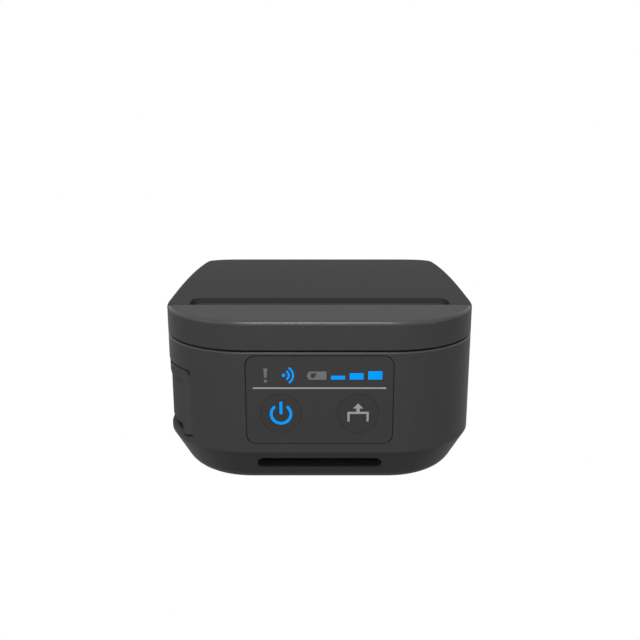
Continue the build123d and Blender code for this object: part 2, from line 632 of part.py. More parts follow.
def rear_frame():
    """The battery ceiling with its side walls, the bulkhead and the hinge arms."""
    y0 = BAY_REAR + FRAME_WALL
    bay_side = BATTERY_HALF + PLAY
    frame = block(-SKIRT_HALF, SKIRT_HALF, y0, REAR - WALL, CEILING_Z, CEILING_TOP)
    for side in both_sides(block(bay_side, bay_side + FRAME_WALL, y0, BULKHEAD_Y, FLOOR, CEILING_TOP)):
        frame += side
    frame += block(-SKIRT_HALF, SKIRT_HALF, BULKHEAD_Y - FRAME_WALL, BULKHEAD_Y, CEILING_Z,
                   HINGE_HEIGHT + HINGE_KNUCKLE_RADIUS)
    for x0, x1 in (HINGE_INNER_ARM, HINGE_OUTER_ARM):
        arm = block(x0, x1, BULKHEAD_Y - 1, HINGE_Y, HINGE_HEIGHT - HINGE_KNUCKLE_RADIUS,
                    HINGE_HEIGHT + HINGE_KNUCKLE_RADIUS)
        arm += rod_x(x0, x1, HINGE_Y, HINGE_HEIGHT, HINGE_KNUCKLE_RADIUS)
        for side in both_sides(arm):
            frame += side
    for x, y in FRAME_POSTS:
        if y > BAY_REAR:
            frame += frame_tab(x, y, bay_side)
            web = sorted(math.copysign(reach, x) for reach in (bay_side, bay_side + FRAME_WALL))
            frame += block(web[0], web[1], y - TAB_HALF, y + TAB_HALF, CEILING_Z, FRAME_TAB_Z + TAB_THICK)
    frame -= tab_bores()
    frame -= rod_x(-FAR, FAR, HINGE_Y, HINGE_HEIGHT, HINGE_PIN_RADIUS)
    return frame & envelope(WALL)


def hinge_pins():
    pin = rod_x(HINGE_INNER_ARM[0], HINGE_OUTER_ARM[1], HINGE_Y, HINGE_HEIGHT, HINGE_PIN_RADIUS)
    return both_sides(pin)


def exclamation():
    mark = polygon([(-18.7, 6.9), (-17.4, 6.9), (-17.65, 3.6), (-18.45, 3.6)])
    return Pos(0, RULE_Z) * (mark + Pos(-18.05, 2.45) * Circle(0.55))


def wireless():
    """A plain radio mark: a dot with two arcs beside it."""
    middle = Pos(-12.0, RULE_Z + 4.5)
    wedge = polygon([(0, 0), (6, 9), (6, -9)])
    mark = middle * Circle(0.6)
    for radius in (1.75, 3.15):
        mark += middle * ((Circle(radius + 0.33) - Circle(radius - 0.33)) & wedge)
    return mark


def battery_mark():
    body = polygon([(-4.35, 4.4), (-3.5, 2.95), (2.3, 2.95), (2.3, 5.85), (-3.5, 5.85)])
    cell = polygon([(-2.9, 3.6), (-1.7, 3.6), (-1.0, 5.2), (-2.9, 5.2)])
    return Pos(0, RULE_Z) * (body - cell)


def level_bars():
    bars = Sketch()
    for x0, x1, rise in ((3.82, 8.5, 1.32), (10.06, 14.64, 2.21), (16.23, 20.9, 2.91)):
        bars += Pos((x0 + x1) / 2, RULE_Z + 3.04 + rise / 2) * Rectangle(x1 - x0, rise)
    return bars


def power_mark():
    """A ring open at the top with a bar standing in the opening."""
    centre = Pos(-BUTTON_X, BUTTON_Z - 0.2)
    ring = centre * (Circle(3.8) - Circle(2.85) - polygon([(0, 0), (-4, 5.4), (4, 5.4)]))
    return ring + Pos(-BUTTON_X, BUTTON_Z + 2.0) * Rectangle(0.95, 4.4)


def feed_mark():
    """A bracket with an arrow rising out of it."""
    bracket = Pos(0, -1.15) * Rectangle(7.2, 3.5) - Pos(0, -1.9) * Rectangle(5.7, 3.5)
    arrow = Pos(0, 1.1) * Rectangle(1.15, 1.6)
    head = polygon([(-1.75, 1.8), (1.75, 1.8), (0, 3.6)])
    return Pos(BUTTON_X, BUTTON_Z) * (bracket + arrow + head)


def mark_solid(sketch):
    return front_prism(sketch, PANEL_FACE, PANEL_FACE + MARK_DEPTH)


def control_panel():
    half = PANEL_HALF - PANEL_GROOVE
    low = PANEL_LOW + PANEL_GROOVE
    high = PANEL_HIGH - PANEL_GROOVE
    panel = front_prism(slot_sketch(half, low, high, PANEL_CORNER - PANEL_GROOVE), PANEL_FACE, PANEL_BACK)
    for x in (-BUTTON_X, BUTTON_X):
        panel -= rod_y(FRONT - 1, FRONT + 5, x, BUTTON_Z, BUTTON_RADIUS + SLIP)
    for sketch in (exclamation(), wireless(), battery_mark(), level_bars(), rule()):
        panel -= mark_solid(sketch)
    return panel


def rule():
    return Pos(0, RULE_Z) * Rectangle(2 * RULE_HALF, RULE_THICK)


def button(x, sketch):
    """A round key with a flange that keeps it behind the panel and a stem for its switch."""
    key = rod_y(PANEL_FACE, PANEL_BACK + SLIP, x, BUTTON_Z, BUTTON_RADIUS)
    key += rod_y(PANEL_BACK + SLIP, PANEL_BACK + SLIP + BUTTON_FLANGE, x, BUTTON_Z,
                 BUTTON_RADIUS + BUTTON_FLANGE)
    key += rod_y(PANEL_BACK, SWITCH_TOP - BUTTON_TRAVEL - PLAY, x, BUTTON_Z, SWITCH_STEM)
    return key - mark_solid(sketch)


def control_board():
    half = PANEL_HALF + CONTROL_BOARD_OUT
    return block(-half, half, CONTROL_BOARD_Y, CONTROL_BOARD_Y + BOARD, CONTROL_BOARD_LOW,
                 PANEL_HIGH - CONTROL_BOARD_BORDER)


def switches():
    return [block(x - SWITCH_HALF, x + SWITCH_HALF, SWITCH_TOP + 0.8, CONTROL_BOARD_Y,
                  BUTTON_Z - SWITCH_HALF, BUTTON_Z + SWITCH_HALF)
            + rod_y(SWITCH_TOP, SWITCH_TOP + 1, x, BUTTON_Z, SWITCH_STEM)
            for x in (-BUTTON_X, BUTTON_X)]


def lamps():
    z = RULE_Z + LAMP_RISE
    return [block(x - 1, x + 1, CONTROL_BOARD_Y - 0.8, CONTROL_BOARD_Y, z - 0.6, z + 0.6) for x in LAMP_X]


def board_link():
    """A flat cable from the control board down to the main board."""
    y = CONTROL_BOARD_Y + BOARD
    top = CONTROL_BOARD_LOW + 5
    points = [(y, top), (y + 0.3, top), (y + 2.3, MAIN_BOARD_TOP + 0.3), (y + 4.5, MAIN_BOARD_TOP + 0.3),
              (y + 4.5, MAIN_BOARD_TOP), (y + 2.0, MAIN_BOARD_TOP), (y, top - 2)]
    return side_prism(polygon(points), -8, 8)


def lever_blank():
    skin = envelope(LEVER_SINK) - envelope(LEVER_SINK + LEVER_THICK)
    span = block(-FAR, -WIDTH / 4, LEVER_FRONT, POCKET_REAR - PLAY, LEVER_LOW, LEVER_TOP)
    span += block(-FAR, -WIDTH / 4, LEVER_FRONT, LEVER_FRONT + LEVER_RIM, LEVER_RIM_LOW, LEVER_LOW)
    return skin & span


def open_lever():
    """The lever that frees the cover: hung at its top edge, dished, with a raised front rim."""
    lever = lever_blank()
    dish = envelope(0) - envelope(LEVER_SINK + LEVER_DISH)
    lever -= dish & block(-FAR, -WIDTH / 4, LEVER_FRONT + LEVER_RIM, POCKET_REAR - LEVER_RIM,
                          0, LEVER_PIN_Z - LEVER_BARREL)
    lug_rear = LEVER_PIN_FRONT + SHEET + PLAY
    barrel = rod_y(lug_rear + PLAY, POCKET_REAR - PLAY, LEVER_PIN_X, LEVER_PIN_Z, LEVER_BARREL)
    lever -= block(-FAR, LEVER_PIN_X, -FAR, FAR, LEVER_PIN_Z, FAR)
    lever += barrel & envelope(LEVER_SINK)
    lever -= block(-FAR, LEVER_PIN_X + LEVER_BARREL + 2 * PLAY, LEVER_PIN_FRONT - PLAY, lug_rear + PLAY,
                   LEVER_PIN_Z - LEVER_BARREL - 2 * PLAY, FAR)
    lever -= rod_y(-FAR, FAR, LEVER_PIN_X, LEVER_PIN_Z, LEVER_PIN_RADIUS + RUNNING)
    return lever


def latch_shaft():
    """The shaft with the two hooks that hold the platen bushings down."""
    outer_x = HOOK_X + HOOK_THICK
    shaft = rod_x(-outer_x, outer_x, LATCH_SHAFT_Y, LATCH_SHAFT_Z, LATCH_SHAFT_RADIUS)
    heel_y = LATCH_SHAFT_Y - LATCH_SHAFT_RADIUS
    heel_z = LATCH_SHAFT_Z - LATCH_SHAFT_RADIUS
    nose_y = PLATEN_Y - BUSH_RADIUS - PLAY
    top = PLATEN_HEIGHT + BUSH_RADIUS + HOOK_RISE
    points = [(heel_y, heel_z), (LATCH_SHAFT_Y + 2, heel_z), (nose_y - 2, top - 4), (nose_y, top - 1),
              (nose_y - 0.8, top), (nose_y - 3, top), (heel_y, LATCH_SHAFT_Z + 2)]
    hook = side_prism(polygon(points), HOOK_X, outer_x)
    for side in both_sides(hook):
        shaft += side
    return shaft


def notch(x0, x1):
    """The open notch that a platen bushing drops into."""
    radius = BUSH_RADIUS + PLAY
    return rod_x(x0, x1, PLATEN_Y, PLATEN_HEIGHT, radius) + block(
        x0, x1, PLATEN_Y - radius, PLATEN_Y + radius, PLATEN_HEIGHT, FAR)


def mechanism_frame():
    """The sheet steel frame round the print head, with a side plate at each end."""
    x = SIDE_PLATE_X
    low = POCKET_HIGH + POCKET_WALL + PLAY
    high = PLATEN_HEIGHT + BUSH_RADIUS + 2
    front = block(-HOOK_X + 2 * PLAY, HOOK_X - 2 * PLAY, FRAME_FRONT - SHEET, FRAME_FRONT, low, high)
    left = block(-x - SHEET, -x, FRAME_FRONT, PLATEN_Y + 10, low, high)
    right = block(x, x + SHEET, FRAME_FRONT, PLATEN_Y + 10, MAIN_BOARD_TOP + PLAY, high)
    frame = front + left + right
    below_shaft = LATCH_SHAFT_Z - LATCH_DROP
    for x0, x1 in ((HOOK_X + 1, x + SHEET), (HOOK_X - 2, x)):
        for side in both_sides(block(x0, x1, FRAME_FRONT - SHEET, FRAME_FRONT, low, below_shaft)):
            frame += side
    frame -= notch(-FAR, FAR)
    frame += rod_x(x + SHEET, GEAR_X + GEAR_WIDTH + PLAY, PLATEN_Y, IDLER_Z, IDLER_PIN_RADIUS)
    frame -= rod_x(x - 1, x + SHEET + 1, MOTOR_Y, MOTOR_Z, MOTOR_SHAFT_RADIUS + 1)
    return frame


def head_sink():
    return block(-HEAD_HALF, HEAD_HALF, SINK_FRONT, SINK_FRONT + SINK_THICK, SINK_LOW, HEAD_HIGH)


def thermal_head():
    y = SINK_FRONT + SINK_THICK
    return block(-HEAD_HALF, HEAD_HALF, y, y + HEAD_THICK, PLATEN_HEIGHT - HEAD_FALL, HEAD_HIGH)


def head_spring():
    """A leaf spring that presses the head against the platen."""
    z = PLATEN_HEIGHT
    points = [(FRAME_FRONT, z - 3), (FRAME_FRONT, z + 3), (FRAME_FRONT + SPRING_SHEET, z + 3),
              (FRAME_FRONT + SPRING_SHEET, z - 1), (SINK_FRONT, z - 3.6), (SINK_FRONT, z - 4.1),
              (FRAME_FRONT + SPRING_SHEET, z - 1.6), (FRAME_FRONT + SPRING_SHEET, z - 3)]
    leaf = side_prism(polygon(points), *SPRING_X)
    return both_sides(leaf)


def head_cable():
    """A flat cable from the head down to the main board."""
    y = SINK_FRONT
    points = [(y, SINK_LOW), (y + 0.3, SINK_LOW), (y - 1.4, MAIN_BOARD_TOP), (y - 4, MAIN_BOARD_TOP),
              (y - 4, MAIN_BOARD_TOP + 0.3), (y - 1.9, MAIN_BOARD_TOP + 0.3)]
    return side_prism(polygon(points), -12, 12)


def platen_shaft():
    return rod_x(-SIDE_PLATE_X - SHEET, GEAR_X + GEAR_WIDTH + PLAY, PLATEN_Y, PLATEN_HEIGHT,
                 PLATEN_SHAFT_RADIUS)


def platen_rubber():
    half = LINER_HALF - COVER_ARM - 2 * PLAY
    return (rod_x(-half, half, PLATEN_Y, PLATEN_HEIGHT, PLATEN_RADIUS)
            - rod_x(-FAR, FAR, PLATEN_Y, PLATEN_HEIGHT, PLATEN_SHAFT_RADIUS))


def platen_bushes():
    bush = rod_x(LINER_HALF - COVER_ARM, SIDE_PLATE_X + SHEET, PLATEN_Y, PLATEN_HEIGHT, BUSH_RADIUS)
    bush -= rod_x(0, FAR, PLATEN_Y, PLATEN_HEIGHT, PLATEN_SHAFT_RADIUS + RUNNING)
    return both_sides(bush)


def gears():
    """The three gears of the paper drive, in mesh."""
    down = -90.0
    platen = gear(PLATEN_TEETH, PLATEN_SHAFT_RADIUS, down, PLATEN_Y, PLATEN_HEIGHT)
    idler_phase = 90.0 + 180.0 / IDLER_TEETH
    idler = gear(IDLER_TEETH, IDLER_PIN_RADIUS + RUNNING, idler_phase, PLATEN_Y, IDLER_Z)
    lead = (idler_phase - MOTOR_DIRECTION) % (360.0 / IDLER_TEETH)
    pinion_phase = MOTOR_DIRECTION + 180 - lead * IDLER_TEETH / PINION_TEETH + 180.0 / PINION_TEETH
    pinion = gear(PINION_TEETH, MOTOR_SHAFT_RADIUS, pinion_phase, MOTOR_Y, MOTOR_Z)
    return platen, idler, pinion


def feed_motor():
    x = SIDE_PLATE_X
    motor = rod_x(x - MOTOR_LENGTH, x, MOTOR_Y, MOTOR_Z, MOTOR_RADIUS)
    bore = rod_x(x - MOTOR_LENGTH - 1, x + 1, MOTOR_Y, MOTOR_Z, MOTOR_SHAFT_RADIUS + RUNNING)
    return motor - bore


def motor_shaft():
    return rod_x(SIDE_PLATE_X - MOTOR_LENGTH, GEAR_X + GEAR_WIDTH + PLAY, MOTOR_Y, MOTOR_Z,
                 MOTOR_SHAFT_RADIUS)


def main_board():
    board = block(-MAIN_BOARD_HALF, MAIN_BOARD_HALF, FRONT + MAIN_BOARD_END, BAY_FRONT - FRAME_WALL - 1,
                  MAIN_BOARD_Z, MAIN_BOARD_TOP)
    for x, y in BOARD_POSTS:
        board -= rod_z(0, FAR, x, y, SCREW_RADIUS + SLIP)
    return board


def chips():
    top = MAIN_BOARD_TOP
    y = BAY_FRONT - FRAME_WALL
    return [block(-4, 8, y - 15, y - 5, top, top + 1.4), block(12, 18, y - 13, y - 6, top, top + 1.0),
            block(14, 22, y - 27, y - 21, top, top + 1.0), block(-12, -6, y - 17, y - 12, top, top + 0.9)]


def capacitors():
    top = MAIN_BOARD_TOP
    return [rod_z(top, top + 7, -32 + 7 * step, BAY_FRONT - 13.5, 2.6) for step in range(3)]


def radio_can():
    top = MAIN_BOARD_TOP
    y = FRONT + 12.5
    can = block(-29, -15, y, y + 12, top, top + 2)
    return can - block(-28.7, -15.3, y + 0.3, y + 11.7, top, top + 1.7)


def usb_socket():
    x = PORT_X
    half = PORT_WIDTH / 2
    z = PORT_LOW
    socket = block(x - half, x + half, REAR - PORT_DEPTH, REAR - WALL, z, z + PORT_HEIGHT)
    return socket - block(x - half + PORT_SHEET, x + half - PORT_SHEET, REAR - PORT_DEPTH + 1, REAR,
                          z + PORT_SHEET, z + PORT_HEIGHT - PORT_SHEET)


def usb_tongue():
    return block(PORT_X - 3, PORT_X + 3, REAR - PORT_DEPTH + 1, REAR - WALL - 1,
                 PORT_LOW + 1.3, PORT_LOW + 1.9)


def port_board():
    return block(PORT_X - PORT_BOARD_HALF, PORT_X + PORT_BOARD_HALF, BULKHEAD_Y + PLAY, REAR - WALL - 2,
                 CEILING_TOP, PORT_LOW)


def port_flap():
    """The rubber flap over the connector, with the round bead that it swings on."""
    flap = block(FLAP_AXIS_X, PORT_X + FLAP_HALF, REAR - FLAP_THICK, REAR, FLAP_LOW, FLAP_LOW + FLAP_HEIGHT)
    return flap + rod_z(FLAP_LOW, FLAP_LOW + FLAP_HEIGHT, FLAP_AXIS_X, FLAP_AXIS_Y, FLAP_BEAD)


def battery_pack():
    pack = envelope(BATTERY_SINK) & block(-BATTERY_HALF, BATTERY_HALF, BATTERY_FRONT, REAR + 1,
                                          FLOOR + PLAY, BATTERY_TOP)
    for pad in battery_pads():
        pack -= pad
    return pack


def battery_pads():
    return [block(x - PAD_HALF, x + PAD_HALF, BATTERY_FRONT, BATTERY_FRONT + PAD_DEPTH,
                  z - PAD_HALF, z + PAD_HALF) for x, z in CONTACT_PLACES]


def terminal_block():
    y = BAY_REAR + FRAME_WALL
    return block(-TERMINAL_HALF, TERMINAL_HALF, y, y + TERMINAL_THICK, *TERMINAL_Z)


def terminal_blades():
    y = BAY_REAR + FRAME_WALL + TERMINAL_THICK
    half_x, half_z = BLADE_HALF
    return [block(x - half_x, x + half_x, y, BATTERY_FRONT - PLAY, z - half_z, z + half_z)
            for x, z in CONTACT_PLACES]


def battery_latch():
    half = BATTERY_LATCH_HALF
    latch = block(-half, half, REAR - WALL - 1.5, REAR - PLAY, LATCH_LOW, LATCH_HIGH)
    for step in range(CATCH_GRIPS):
        x = CATCH_GRIP_PITCH * (step - (CATCH_GRIPS - 1) / 2)
        latch -= block(x - 0.4, x + 0.4, REAR - 0.8, REAR, LATCH_LOW - 1, LATCH_HIGH + 1)
    return latch


def cover_switch():
    x = -WIDTH / 2 + WALL
    y = BAY_REAR - 8
    top = CASE_TOP - 5.0
    body = block(x, x + 3.4, y, y + 9, top - 6, top)
    return body + rod_z(top, CASE_TOP - PLAY, x + 1.8, y + 4.5, 1.0)


def paper_sensor():
    y = BAY_FRONT - FRAME_WALL
    return block(-4, 4, y - 3, y, BAY_FRONT_HEIGHT - 6, BAY_FRONT_HEIGHT - 1)


def feet():
    return [rod_z(0, FOOT_STAND + FOOT_SINK, x, y, FOOT_RADIUS - SLIP)
            for x in (-FOOT_X, FOOT_X) for y in (FRONT + FOOT_END, REAR - FOOT_END)]


def inserts():
    return [rod_z(FOOT_STAND, FOOT_STAND + INSERT_LENGTH, x, INSERT_Y, INSERT_RADIUS)
            - rod_z(0, FOOT_STAND + INSERT_LENGTH + 1, x, INSERT_Y, INSERT_BORE)
            for x in (-INSERT_X, INSERT_X)]


def screw(x, y, z):
    shank = rod_z(z - SCREW_LENGTH, z, x, y, SCREW_RADIUS)
    head = rod_z(z, z + SCREW_HEAD, x, y, SCREW_HEAD_RADIUS)
    return shank + head


def build():
    os.makedirs("parts", exist_ok=True)
    outer, inner = shell_pieces()
    keep("lower_case", lower_case(outer, inner))
    keep("front_bezel", front_bezel(outer, inner))
    keep("tear_bar", tear_bar())
    keep("cover_shell", cover_shell(outer, inner))
    keep("cover_liner", cover_liner())
    keep("roll_tray", roll_tray())
    keep("rear_frame", rear_frame())
    keep("strap_anchor", strap_anchor())
    keep("lever_housing", lever_housing())
    keep("hinge_pins", *hinge_pins())
    keep("control_panel", control_panel())
    keep("fault_mark", mark_solid(exclamation()))
    keep("battery_mark", mark_solid(battery_mark()))
    keep("wireless_mark", mark_solid(wireless()))
    keep("level_marks", mark_solid(level_bars()))
    keep("panel_rule", mark_solid(rule()))
    keep("power_button", button(-BUTTON_X, power_mark()))
    keep("power_mark", mark_solid(power_mark()))
    keep("feed_button", button(BUTTON_X, feed_mark()))
    keep("feed_mark", mark_solid(feed_mark()))
    keep("control_board", control_board())
    keep("key_switches", *switches())
    keep("panel_lamps", *lamps())
    keep("board_link", board_link())
    keep("open_lever", open_lever())
    keep("lever_pin", rod_y(LEVER_PIN_FRONT, POCKET_REAR + 1, LEVER_PIN_X, LEVER_PIN_Z, LEVER_PIN_RADIUS))
    keep("latch_shaft", latch_shaft())
    keep("mechanism_frame", mechanism_frame())
    keep("head_sink", head_sink())
    keep("thermal_head", thermal_head())
    keep("head_springs", *head_spring())
    keep("head_cable", head_cable())
    keep("platen_shaft", platen_shaft())
    keep("platen_rubber", platen_rubber())
    keep("platen_bushes", *platen_bushes())
    platen_gear, idler_gear, pinion = gears()
    keep("platen_gear", platen_gear)
    keep("idler_gear", idler_gear)
    keep("motor_pinion", pinion)
    keep("feed_motor", feed_motor())
    keep("motor_shaft", motor_shaft())
    keep("main_board", main_board())
    keep("board_chips", *chips())
    keep("capacitors", *capacitors())
    keep("radio_can", radio_can())
    keep("usb_socket", usb_socket())
    keep("usb_tongue", usb_tongue())
    keep("port_board", port_board())
    keep("port_flap", port_flap())
    keep("battery_pack", battery_pack())
    keep("battery_pads", *battery_pads())
    keep("terminal_block", terminal_block())
    keep("terminal_blades", *terminal_blades())
    keep("battery_latch", battery_latch())
    keep("cover_switch", cover_switch())
    keep("paper_sensor", paper_sensor())
    keep("rubber_feet", *feet())
    keep("base_inserts", *inserts())
    keep("frame_screws", *[screw(x, y, FRAME_TAB_Z + TAB_THICK) for x, y in FRAME_POSTS])
    keep("board_screws", *[screw(x, y, MAIN_BOARD_TOP) for x, y in BOARD_POSTS])


build()
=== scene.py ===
import json
import math

import bpy
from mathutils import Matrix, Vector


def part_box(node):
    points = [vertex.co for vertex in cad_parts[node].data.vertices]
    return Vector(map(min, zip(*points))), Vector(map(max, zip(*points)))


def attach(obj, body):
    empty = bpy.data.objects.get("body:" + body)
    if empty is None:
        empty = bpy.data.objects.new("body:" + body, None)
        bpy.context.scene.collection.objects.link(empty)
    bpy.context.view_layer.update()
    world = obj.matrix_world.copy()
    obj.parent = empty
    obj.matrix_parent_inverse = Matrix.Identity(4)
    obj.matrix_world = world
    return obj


# Portable receipt printer: finishes, moulded ribs, light and camera. Blender's lengths are in metres.
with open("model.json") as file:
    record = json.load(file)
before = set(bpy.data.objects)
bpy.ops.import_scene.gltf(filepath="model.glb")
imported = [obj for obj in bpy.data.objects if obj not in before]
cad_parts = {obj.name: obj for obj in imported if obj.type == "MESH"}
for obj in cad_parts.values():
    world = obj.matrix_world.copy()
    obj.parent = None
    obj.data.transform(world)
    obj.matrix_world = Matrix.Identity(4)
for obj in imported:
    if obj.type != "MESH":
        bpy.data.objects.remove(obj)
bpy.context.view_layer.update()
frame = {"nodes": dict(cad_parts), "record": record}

MM = 0.001

# Plan of the body, in millimetres, for patterns that run round its sides
FRONT_CORNER = 31.0
REAR_CORNER = 14.0
BODY_LOW, BODY_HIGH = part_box("lower_case")
HALF_WIDTH = BODY_HIGH.x / MM
FRONT = BODY_LOW.y / MM
REAR = BODY_HIGH.y / MM
RIBS_PER_SIDE = 337
RIB_DASH = 1.1
DASH_SHARE = 0.35
WALL_POLISH = 0.46
SIDE_BLEND = 0.01
NEARLY_ZERO = 0.001

# Greys of the moulded plastics and the rubbers, as linear values
CASE_GREY = 0.036
# The lever's grey is the case's grey made lighter: painted light for the light that the real lever's
# dished face catches
LEVER_PAINTED_LIGHT_GREY = CASE_GREY * 1.3
COVER_GREY = 0.029
PANEL_GREY = 0.03
KEY_GREY = 0.023
INNER_GREY = 0.014
CHIP_GREY = 0.018
FEET_GREY = 0.02
PLATEN_GREY = 0.03

# Colours of the panel's marks and of what lies inside, as linear values
DIM_MARK = 0.14
PALE_MARK = 0.29
LIT_BLUE = (0.0, 0.32, 1.0)
LACQUER = (0.006, 0.07, 0.03)
LACQUERED_COPPER = (0.02, 0.17, 0.07)
CABLE_FILM = (0.68, 0.68, 0.64)
CABLE_WIRE = (0.5, 0.42, 0.3)
HEAD_CERAMIC = (0.3, 0.26, 0.22)
HEATER_LINE = (0.03, 0.02, 0.02)
ACETAL = (0.62, 0.61, 0.55)
ALUMINIUM = (0.6, 0.6, 0.62)
BRASS = (0.72, 0.55, 0.24)
STEEL_GREY = 0.55
BLACK_STEEL_GREY = 0.06

# Sizes of grains and patterns, in millimetres
CASE_GRAIN = 0.16
CASE_CLOUD = 9.0
COVER_GRAIN = 0.22
COVER_CLOUD = 14.0
PANEL_PEBBLE = 0.8
PANEL_CREASE = 2.6
PANEL_CLOUD = 3.0
KEY_GRAIN = 0.3
INNER_GRAIN = 0.35
INNER_FLOW = 6.0
LEVER_GRAIN = 0.25
WINDOW_CLOUD = 1.2
METAL_GRAIN = 0.12
METAL_CLOUD = 5.0
METAL_STRETCH = 0.06
RUBBER_GRAIN = 0.2
RUBBER_BLOOM = 4.0
TRACK_PITCH_X = 1.4
TRACK_PITCH_Y = 1.9
TRACK_AREA = 5.0
CHIP_GRAIN = 0.12
WIRE_PITCH = 1.0
HEAD_CLOUD = 3.0
ACETAL_CLOUD = 2.5

# Masks that turn from 0 to 1 between two values: of a wave, of noise, of the upward part of a face's
# normal, and for the heater line of the distance from its middle in millimetres
TRACK_EDGE_X = (0.72, 0.8)
TRACK_EDGE_Y = (0.78, 0.85)
TRACK_AREA_EDGE = (0.45, 0.55)
WIRE_EDGE = (0.35, 0.65)
WALL_EDGE = (0.82, 0.97)
HEATER_EDGE = (0.15, 0.3)

# Axes along which a metal is drawn
ALONG_X = 0
ALONG_Z = 2

# Moulded ribs, in millimetres
TRAY_LOW, TRAY_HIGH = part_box("roll_tray")
TRAY_WALL = 1.6
TRAY_RIB_COUNT = 15
TRAY_RIB = (76.0, 0.8, 0.35)
RIB_BED = 0.01
BATTERY_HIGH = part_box("battery_pack")[1]
CREASE_HEIGHT = 14.2
GRIP_COUNT = 8
GRIP_RIB = (30.0, 0.3, 0.7)
GRIP_STEP = 1.6

# Studio: the world's light, and the floor's reach in metres, its brightness in reflections and its paint
WORLD_LIGHT = 0.3
FLOOR_REACH = 4.0
FLOOR_GLOSS = 0.3
FLOOR_PAINT = 0.08
WHITE = (1.0, 1.0, 1.0, 1.0)

# Lamps as size, energy and place, in metres and watts, and the point at which they all look
MIDDLE = (0.0, 0.0, 0.03)
SOFTBOXES = {
    "key_softbox": (0.3, 11.5, (-0.05, -0.68, 0.86)),
    "rear_softbox": (0.5, 1.4, (0.25, 0.6, 0.8)),
    "front_softbox": (0.5, 2.0, (0.0, -1.1, 0.35)),
    "left_softbox": (0.5, 1.2, (-0.75, -0.45, 0.35)),
    "right_softbox": (0.5, 0.8, (0.75, -0.45, 0.35)),
}

# Camera: lens and sensor in millimetres, clipping and place in metres
LENS = 45.17
SENSOR = 36.0
CLIP_START = 0.01
CAMERA_PLACE = (0.00015, -0.326, 0.1277)
CAMERA_TILT = math.radians(75.25)

# Numbers of the sockets of a Mix node that mixes colours
MIX_FACTOR = 0
MIX_FIRST = 6
MIX_SECOND = 7
MIX_RESULT = 2


class Socket:
    """A node's output that takes part in Python arithmetic."""

    def __init__(self, tree, socket):
        self.tree = tree
        self.socket = socket

    def beside(self, output):
        """Another output of the same node."""
        return Socket(self.tree, self.socket.node.outputs[output])

    def math(self, operation, *others):
        return self.tree.node("ShaderNodeMath", {"operation": operation}, [self, *others])

    def __add__(self, other):
        return self.math("ADD", other)

    def __sub__(self, other):
        return self.math("SUBTRACT", other)

    def __rsub__(self, other):
        return self.tree.node("ShaderNodeMath", {"operation": "SUBTRACT"}, [other, self])

    def __mul__(self, other):
        return self.math("MULTIPLY", other)

    def __neg__(self):
        return self.math("MULTIPLY", -1.0)

    __radd__ = __add__
    __rmul__ = __mul__

    def at_least(self, other):
        return self.math("MAXIMUM", other)

    def at_most(self, other):
        return self.math("MINIMUM", other)

    def size(self):
        return self.math("ABSOLUTE")

    def wave(self, period):
        """Swings between 0 and 1 once in each period."""
        return (self * (2 * math.pi / period)).math("COSINE") * 0.5 + 0.5

    def step(self, low, high):
        """Rises smoothly from 0 to 1 between two values."""
        return self.tree.node("ShaderNodeMapRange", {"interpolation_type": "SMOOTHSTEP"},
                              {"Value": self, "From Min": low, "From Max": high})


class Tree:
    """A node tree, to which every node is added in one way."""

    def __init__(self, tree):
        self.tree = tree
        self.tree.nodes.clear()

    def node(self, kind, settings, inputs, output=0):
        """Adds one node: its settings first, then the values or links of its sockets."""
        node = self.tree.nodes.new(kind)
        for key, value in settings.items():
            setattr(node, key, value)
        pairs = inputs.items() if isinstance(inputs, dict) else enumerate(inputs)
        for key, value in pairs:
            if isinstance(value, Socket):
                self.tree.links.new(value.socket, node.inputs[key])
            else:
                node.inputs[key].default_value = value
        return Socket(self, node.outputs[output]) if node.outputs else None

    def light_path(self):
        """Masks of the rays from the camera, from a glossy surface and through a clear one."""
        camera = self.node("ShaderNodeLightPath", {}, {}, "Is Camera Ray")
        return camera, camera.beside("Is Glossy Ray"), camera.beside("Is Transmission Ray")


